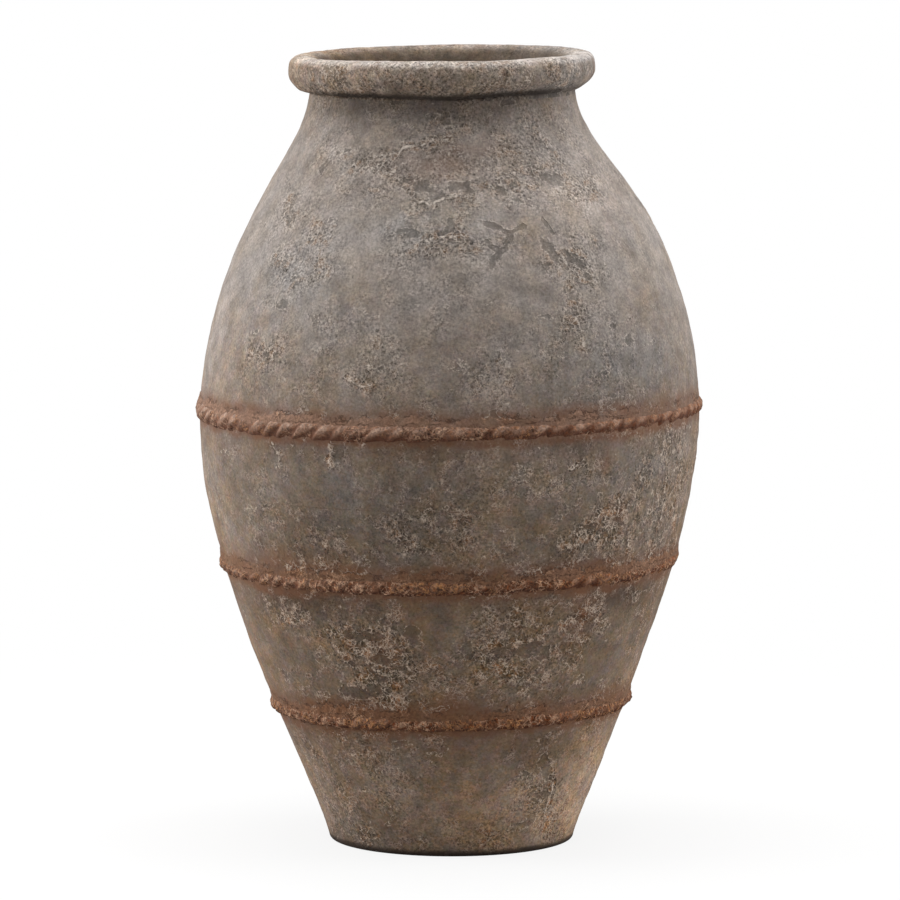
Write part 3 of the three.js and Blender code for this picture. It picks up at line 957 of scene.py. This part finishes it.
# Dust with a painted highlight on the strands' upper flanks, greyer and redder
LEDGE_DUST_AND_HIGHLIGHT_GREY = (174, 152, 138)
LEDGE_DUST_AND_HIGHLIGHT_RED = (166, 134, 112)
PALE_THREAD = (204, 166, 138)
ORANGE_THREAD = (192, 138, 92)
IRON_CAST = (1.24, 0.87, 0.52, 1)
PIT_CAST = (0.40, 0.31, 0.25, 1)

ROPE_BUMP_DEPTH = 0.0018


def rope_clay():
    """Iron-red clay with threads of crust: dust and a painted highlight pale on the strands' upper flanks,
    painted shade and dirt dark in the notches and on the lower half.
    """
    material, place, grain, mask = clay_nodes("rust_clay")
    iron = mask("iron")
    pale, dark, rough, _ = lace_over(place, grain, mask("crust"))
    cloud = grain(0.035, 4.0)
    mottle = grain(0.008)
    speck = grain(0.0026, 2.0, 0.75)
    colour = iron.tint(paint(*ROPE_GREY), paint(*ROPE_RED))
    colour = (cloud.step(0.38, 0.62) * 0.5).tint(colour, paint(*ROPE_DUST))
    colour = (mottle.step(0.48, 0.68) * (0.15 + 0.45 * iron)).tint(colour, paint(*ROPE_ORANGE))
    # Painted shade with dirt darkens the notches
    colour = (mask("trough").step(0.05, 0.40) * 0.75).tint(colour, paint(*TROUGH_SHADE_AND_DIRT))
    # Painted shade with dirt on the band's lower half
    colour = (mask("under") * 0.82).tint(colour, paint(*BAND_UNDERSHADE_AND_DIRT))
    # Dust with a painted highlight on the strands' upper flanks
    ledge_dust_and_highlight_colour = iron.tint(paint(*LEDGE_DUST_AND_HIGHLIGHT_GREY), paint(*LEDGE_DUST_AND_HIGHLIGHT_RED))
    colour = (mask("ledge") * mottle.step(0.36, 0.60) * 0.6).tint(colour, ledge_dust_and_highlight_colour)
    rusty = grain(0.0036, 2.0).step(0.50, 0.66) * (0.4 + 0.6 * iron)
    colour = (rusty * 0.95).stain(colour, IRON_CAST)
    colour = colour.times(1 + (1.5 + 1.8 * rough) * (speck - 0.5))
    colour = (dark * 0.85).stain(colour, PIT_CAST)
    thread_colour = cloud.step(0.45, 0.55).tint(paint(*PALE_THREAD), paint(*ORANGE_THREAD))
    colour = (pale * (0.35 + 0.9 * speck)).tint(colour, thread_colour)
    relief = speck + mottle + 0.5 * pale - 0.9 * dark
    finish_clay(material, colour, 0.97 - 0.10 * mottle, relief, ROPE_BUMP_DEPTH)
    return material


rust_clay = rope_clay()

for index, name in enumerate(BANDS):
    centre = band_heights[index]
    strands = round(2 * np.pi * outer_radius(centre) / STRAND_PITCH)
    turn = np.linspace(-np.pi, np.pi, strands * STRAND_STEPS, endpoint=False)[None, :]
    across = np.linspace(-1, 1, BAND_FRONT_ROWS)[:, None]
    level = around(turn, outer_radius(centre), centre + 0 * turn)
    line = band_line(centre, turn, level)
    slim = SLIM[index] - SLIMMING[index] * np.sin(turn)
    half_width = BAND_HALF_WIDTH * slim * (1 + 0.12 * ripple(level, 0.05, 110))
    crumbled_edge = EDGE_CRUMBS * layered(level, 0.013, 112, 2) * smooth(np.abs(across), 0.3, 1.0)
    height = line + across * half_width + crumbled_edge
    place = around(turn, outer_radius(height), height)

    # A strand's phase grows along the band and slants across it. Each strand rises fast from its notch to its
    # own height and falls away slowly, later towards the band's upper edge.
    wander = STRAND_WANDER * ripple(level, 0.045, 120)
    slant = STRAND_SLANT * (1 + 0.30 * ripple(level, 0.06, 125))
    phase = turn * strands / (2 * np.pi) + wander - slant * across * half_width / STRAND_PITCH
    along = np.mod(phase, 1)
    own = random.uniform(*STRAND_SIZES, strands)[np.floor(phase).astype(int) % strands]
    falls = 0.34 + 0.24 * across
    lobe = own * smooth(along, -0.02, 0.26) * (1 - smooth(along, falls, falls + 0.56))

    # Notches are deepest at the lower edge, and wear and crust fill them
    worn = sum(share * np.exp(-(((turn - at) / WORN_HALF_TURN) ** 2)) for at, share in WORN[index])
    filled = smooth(layered(place, 0.05, 130) + FILLED[index] + worn, 0.0, 0.7)
    notch = np.clip(0.40 - 0.34 * across + 0.18 * ripple(place, 0.03, 140), 0.03, 0.66) * (1 - 0.70 * filled)
    trough = notch * (1 - lobe)

    # The strip is a dome across: soft at its lower edge, and merged above with the clay smeared up the wall
    merged = 0.45 * heap(turn, place)
    steep = np.abs(across)
    dome = np.where(across > 0, 1 - (1 - merged) * steep**2.2, (1 - steep**2.4) ** SOFTENED[index])
    crown = dome * (1 - trough)
    crumbs = CRUMBLED[index] * layered(place, 0.0058, 150, 3) * dome
    swell = slim * (1 + 0.14 * ripple(level, 0.04, 160))
    front = off_wall(turn, height, BAND_RELIEF * swell * crown - BAND_SINK + crumbs * (0.7 + filled))
    back_height = line + np.array([[0.8], [0.0], [-0.8]]) * half_width
    back = off_wall(turn, back_height, BAND_BACK + 0 * turn)

    # The ledge mask lays dust with a painted highlight on the strands' upper flanks, less on the right
    ledge = smooth(across, -0.3, 0.45) * smooth(lobe, 0.3, 0.95) * (1 - 0.4 * filled)
    # The under mask lays painted shade with dirt on the band's lower half, reaching higher on the right
    drop = 0.40 * np.sin(turn)
    masks = {
        "trough": trough,
        "crust": CRUSTY[index] + 0.30 * filled + 0.25 * layered(place, 0.03, 170),
        "ledge": ledge * (1 - 0.4 * smooth(np.sin(turn), 0.2, 0.9)),
        "iron": np.clip(IRON[index] + 0.40 * np.sin(turn), 0, 1) + 0 * across,
        "under": smooth(across, 0.10 + drop, -0.75 + drop),
    }
    blank = np.zeros(back.shape[:2])
    masks = {key: np.concatenate([mask, blank]) for key, mask in masks.items()}
    band = ring_mesh(name + "_clay", np.concatenate([front, back]), masks)
    band.data.materials.append(rust_clay)
    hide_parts(name)
    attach(band, "root")

# The rim: one thick coil luted on to the neck's edge and rolled outwards between wet fingers. Sandy crust
# covers it, and has come away in smooth grey islands along its lower side.

RIM_ROLL = 0.019
RIM_OVERHANG = 0.0206
CREST_SETBACK = 0.0155
RIM_TILT = 0.002
RIM_COLUMNS = 900
UNDER_STEPS = 22
OVER_STEPS = 24
MOUTH_STEPS = 24
NECK_END_STEPS = 2
MOUTH_FADE_ROWS = 9
UNDER_POWER = 1.55
OVER_POWER = 3.2
MOUTH_POWER = 2.0
RIM_SWELL = 0.0009
RIM_GRAIN = 0.0006
RIM_FLAKE_DEPTH = 0.0008
RIM_WANDER = 0.0009
SEAT_FADE = 0.006
RIM_GREY = (134, 125, 118)
RIM_EARTHY = (116, 103, 89)

# How far the crease under the rim lies above its seam, by the sine of the turn, from left to right
CREASE_SIDES = [-1.0, -0.5, 0.0, 0.6, 1.0]
CREASE_LIFTS = [0.0010, 0.0036, 0.0018, 0.0038, 0.0028]

seat_height = seams[-1]
seat_radius = outer_radius(seat_height)
mouth_height = seat_height + SCARF_RISE
mouth_radius = inner_radius(mouth_height)
waist_height = JAR_HEIGHT - RIM_ROLL
crest_radius = seat_radius + RIM_OVERHANG - CREST_SETBACK
rim_turn = np.linspace(-np.pi, np.pi, RIM_COLUMNS, endpoint=False)[None, :]
right = np.sin(rim_turn)
crease_height = seat_height + np.interp(right, CREASE_SIDES, CREASE_LIFTS)


def quarter(centre, size, start, power, steps):
    """A quarter of a rounded square from the angle start on, as radius and height, for every turn of the rim.

    From its centre it goes size times cos^(2/power) outwards and size times sin^(2/power) up.
    """
    angle = np.linspace(start, start + np.pi / 2, steps)[:, None]
    cosine, sine = np.cos(angle), np.sin(angle)
    radius = centre[0] + size[0] * np.sign(cosine) * np.abs(cosine) ** (2 / power)
    height = centre[1] + size[1] * np.sign(sine) * np.abs(sine) ** (2 / power)
    return np.stack([radius + 0 * rim_turn, height + 0 * rim_turn], axis=-1)


# The section: up the neck's end to the crease, out under the roll, over it to the crest, and into the mouth
neck_end = np.linspace(seat_height, crease_height, NECK_END_STEPS, endpoint=False)[:, 0]
under_size = (RIM_OVERHANG, waist_height - crease_height)
over_size = (CREST_SETBACK, RIM_ROLL)
mouth_size = (crest_radius - mouth_radius, JAR_HEIGHT - mouth_height)
rim_section = np.concatenate(
    [
        np.stack([seat_radius + 0 * neck_end, neck_end], axis=-1),
        quarter((seat_radius, waist_height), under_size, -np.pi / 2, UNDER_POWER, UNDER_STEPS),
        quarter((crest_radius, waist_height), over_size, 0, OVER_POWER, OVER_STEPS)[1:],
        quarter((crest_radius, mouth_height), mouth_size, np.pi / 2, MOUTH_POWER, MOUTH_STEPS)[1:],
    ]
)
rim_radius, rim_height = rim_section[..., 0], rim_section[..., 1]
rim_row = np.arange(len(rim_section))[:, None]
rim_place = around(rim_turn, rim_radius, rim_height)
along_section = np.gradient(rim_section, axis=0)
outward = np.stack([along_section[..., 1], -along_section[..., 0]], axis=-1)
outward /= np.hypot(along_section[..., 0], along_section[..., 1])[..., None]

# Relief and tilt fade out at both joints with the neck
mouth_row = NECK_END_STEPS + UNDER_STEPS + OVER_STEPS
into_mouth = smooth(rim_row, mouth_row, mouth_row + MOUTH_FADE_ROWS)
joint_height = np.where(rim_row < mouth_row, seat_height, mouth_height)
seated = smooth(rim_height, joint_height, joint_height + SEAT_FADE)
rim_crust = 0.62 + 0.30 * layered(rim_place, 0.04, 200, 3)
low_side = smooth(rim_height, seat_height + 0.022, seat_height + 0.004)
islands = ripple(rim_place * (1, 1, 1.5), 0.030, 203) + 0.3 * layered(rim_place, 0.012, 204)
rim_flake = np.clip(1.6 * (islands + 0.35 * low_side - 0.72), -1, 1) - 2 * into_mouth
rim_relief = RIM_SWELL * layered(rim_place, 0.09, 210, 2)
rim_relief += RIM_GRAIN * rim_crust * layered(rim_place, 0.011, 212, 2)
rim_relief = (rim_relief - RIM_FLAKE_DEPTH * smooth(rim_flake, -0.1, 0.3)) * seated
rim_lift = RIM_TILT * right + RIM_WANDER * ripple(rim_place * (1, 1, 0), 0.12, 220)
worked_radius = rim_radius + rim_relief * outward[..., 0]
worked_height = rim_height + rim_relief * outward[..., 1] + seated * rim_lift

# Dust and a painted highlight lie pale on the crest, strongest at the front; painted shade darkens the roll's
# lower side, and painted shadow with soot sits about the crease
# Dust with a painted highlight on the rim's top, strongest at the front lip
crest_dust_and_highlight = smooth(rim_height, JAR_HEIGHT - 0.009, JAR_HEIGHT - 0.0015)
crest_dust_and_highlight = crest_dust_and_highlight * (0.3 + 0.7 * smooth(np.cos(rim_turn), -0.6, 0.2))
shade = smooth(rim_height, seat_height + 0.020, seat_height + 0.004) * (1 - into_mouth)
# Painted shadow with soot about the crease under the roll, on the roll's underside and the neck's end
over_crease = rim_height - crease_height
rim_shadow_and_soot = (NECK_SHADOW_AND_SOOT + 0.44 * smooth(over_crease, -0.003, 0)) * smooth(over_crease, 0.008, 0.002)
rim_cool = 0.25 + 0.6 * layered(rim_place, 0.05, 230) + crest_dust_and_highlight + 0.4 * right
rim_earth = 0.42 + 0.35 * layered(rim_place, 0.05, 250) - 0.35 * crest_dust_and_highlight - 0.25 * right
rim_masks = {
    **PLAIN,
    "streak": 0,
    "heaped": 0,
    "crust": np.clip(rim_crust, 0, 1),
    "flake": rim_flake,
    "cool": np.clip(rim_cool, 0, 1),
    "rust": 0.55 * smooth(layered(rim_place, 0.03, 240), 0.35, 0.8),
    "earth": np.clip(rim_earth, 0, 1),
    "soot_and_shade": rim_shadow_and_soot * (1 - into_mouth) * crease_shadow_strength(rim_turn),
    "inside": into_mouth,
    "tone": 0.97 + 0.95 * crest_dust_and_highlight - 0.16 * shade + 0.36 * layered(rim_place, 0.016, 260, 2),
}

rim_corners = (0, NECK_END_STEPS, len(rim_section) - 1)
rim = ring_mesh("rim_coil_clay", around(rim_turn, worked_radius, worked_height), rim_masks, rim_corners)
rim.data.materials.append(weathered_clay("rim_clay", RIM_GREY, RIM_EARTHY, lace=0.8, grit=1.1))
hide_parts("rim_coil")
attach(rim, "root")

# The studio: a pale floor that takes the jar's shadow, a white surround, soft light from both sides and from
# above, and a long lens that looks a little down on the jar.

CAMERA_DISTANCE = 6.9311
CAMERA_HEIGHT = 1.2165
CAMERA_PITCH = 0.1177
CAMERA_LENS = 274.9
FLOOR_SIZE = 120.0
SHADE_SHARE = 0.15
FLOOR_GREY = (0.42, 0.41, 0.40, 1)
FLOOR_WHITE = (0.8, 0.8, 0.8, 1)
SHADE_NEAR = 0.3
SHADE_FAR = 1.6
SKY_COLOUR = (1.0, 0.985, 0.97, 1)
SKY_STRENGTH = 0.64
AIM_HEIGHT = 0.45

bpy.ops.mesh.primitive_plane_add(size=FLOOR_SIZE)
floor = bpy.context.object
floor.name = "studio_floor"
floor_paint = bpy.data.materials.new("studio_floor")
floor_paint.use_nodes = True
floor_tree = floor_paint.node_tree
floor_tree.nodes.clear()
ray = Wire(floor_tree.nodes.new("ShaderNodeLightPath").outputs["Is Camera Ray"])
spot = Wire(floor_tree.nodes.new("ShaderNodeTexCoord").outputs["Object"])
away = spot.node("VectorMath", {"operation": "LENGTH"}, {0: spot}, "Value")
glow_share = ray * ((1 - SHADE_SHARE) + SHADE_SHARE * away.step(SHADE_NEAR, SHADE_FAR))
matt = spot.node("BsdfDiffuse", {}, {"Color": ray.tint(FLOOR_GREY, FLOOR_WHITE)})
glow = spot.node("Emission", {}, {"Color": (1, 1, 1, 1), "Strength": 1.0})
both = spot.node("MixShader", {}, {0: glow_share, 1: matt, 2: glow})
spot.node("OutputMaterial", {}, {"Surface": both})
floor.data.materials.append(floor_paint)
floor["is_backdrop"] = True

scene = bpy.context.scene
scene.view_settings.view_transform = "Standard"
world = bpy.data.worlds.new("studio")
scene.world = world
world.use_nodes = True
sky_tree = world.node_tree
sky_tree.nodes.clear()
path = sky_tree.nodes.new("ShaderNodeLightPath")
seen = Wire(path.outputs["Is Camera Ray"])
seen = seen.most(Wire(path.outputs["Is Glossy Ray"])).most(Wire(path.outputs["Is Transmission Ray"]))
soft = seen.node("Background", {}, {"Color": SKY_COLOUR, "Strength": SKY_STRENGTH})
white = seen.node("Background", {}, {"Color": (1, 1, 1, 1), "Strength": 1.0})
sky = seen.node("MixShader", {}, {0: seen, 1: soft, 2: white})
seen.node("OutputWorld", {}, {"Surface": sky})

# Each lamp's name, place, width and height, and power
LAMPS = [
    ("left_softbox", (-2.4, 0.1, 0.8), (1.6, 2.0), 58),
    ("right_softbox", (2.4, 0.1, 0.45), (1.6, 2.0), 50),
    ("top_softbox", (0.0, 0.0, 2.9), (1.8, 1.8), 50),
]
aim = np.array([0, 0, AIM_HEIGHT])
for name, at, size, power in LAMPS:
    lamp = bpy.data.lights.new(name, "AREA")
    lamp.shape = "RECTANGLE"
    lamp.size, lamp.size_y = size
    lamp.energy = power
    softbox = bpy.data.objects.new(name, lamp)
    softbox.location = at
    softbox.rotation_euler = Vector(aim - np.array(at)).to_track_quat("-Z", "Y").to_euler()
    scene.collection.objects.link(softbox)

camera_data = bpy.data.cameras.new("camera")
camera_data.lens = CAMERA_LENS
camera = bpy.data.objects.new("camera", camera_data)
camera.location = (0, -CAMERA_DISTANCE, CAMERA_HEIGHT)
camera.rotation_euler = (np.pi / 2 - CAMERA_PITCH, 0, 0)
scene.collection.objects.link(camera)
scene.camera = camera

low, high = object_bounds()
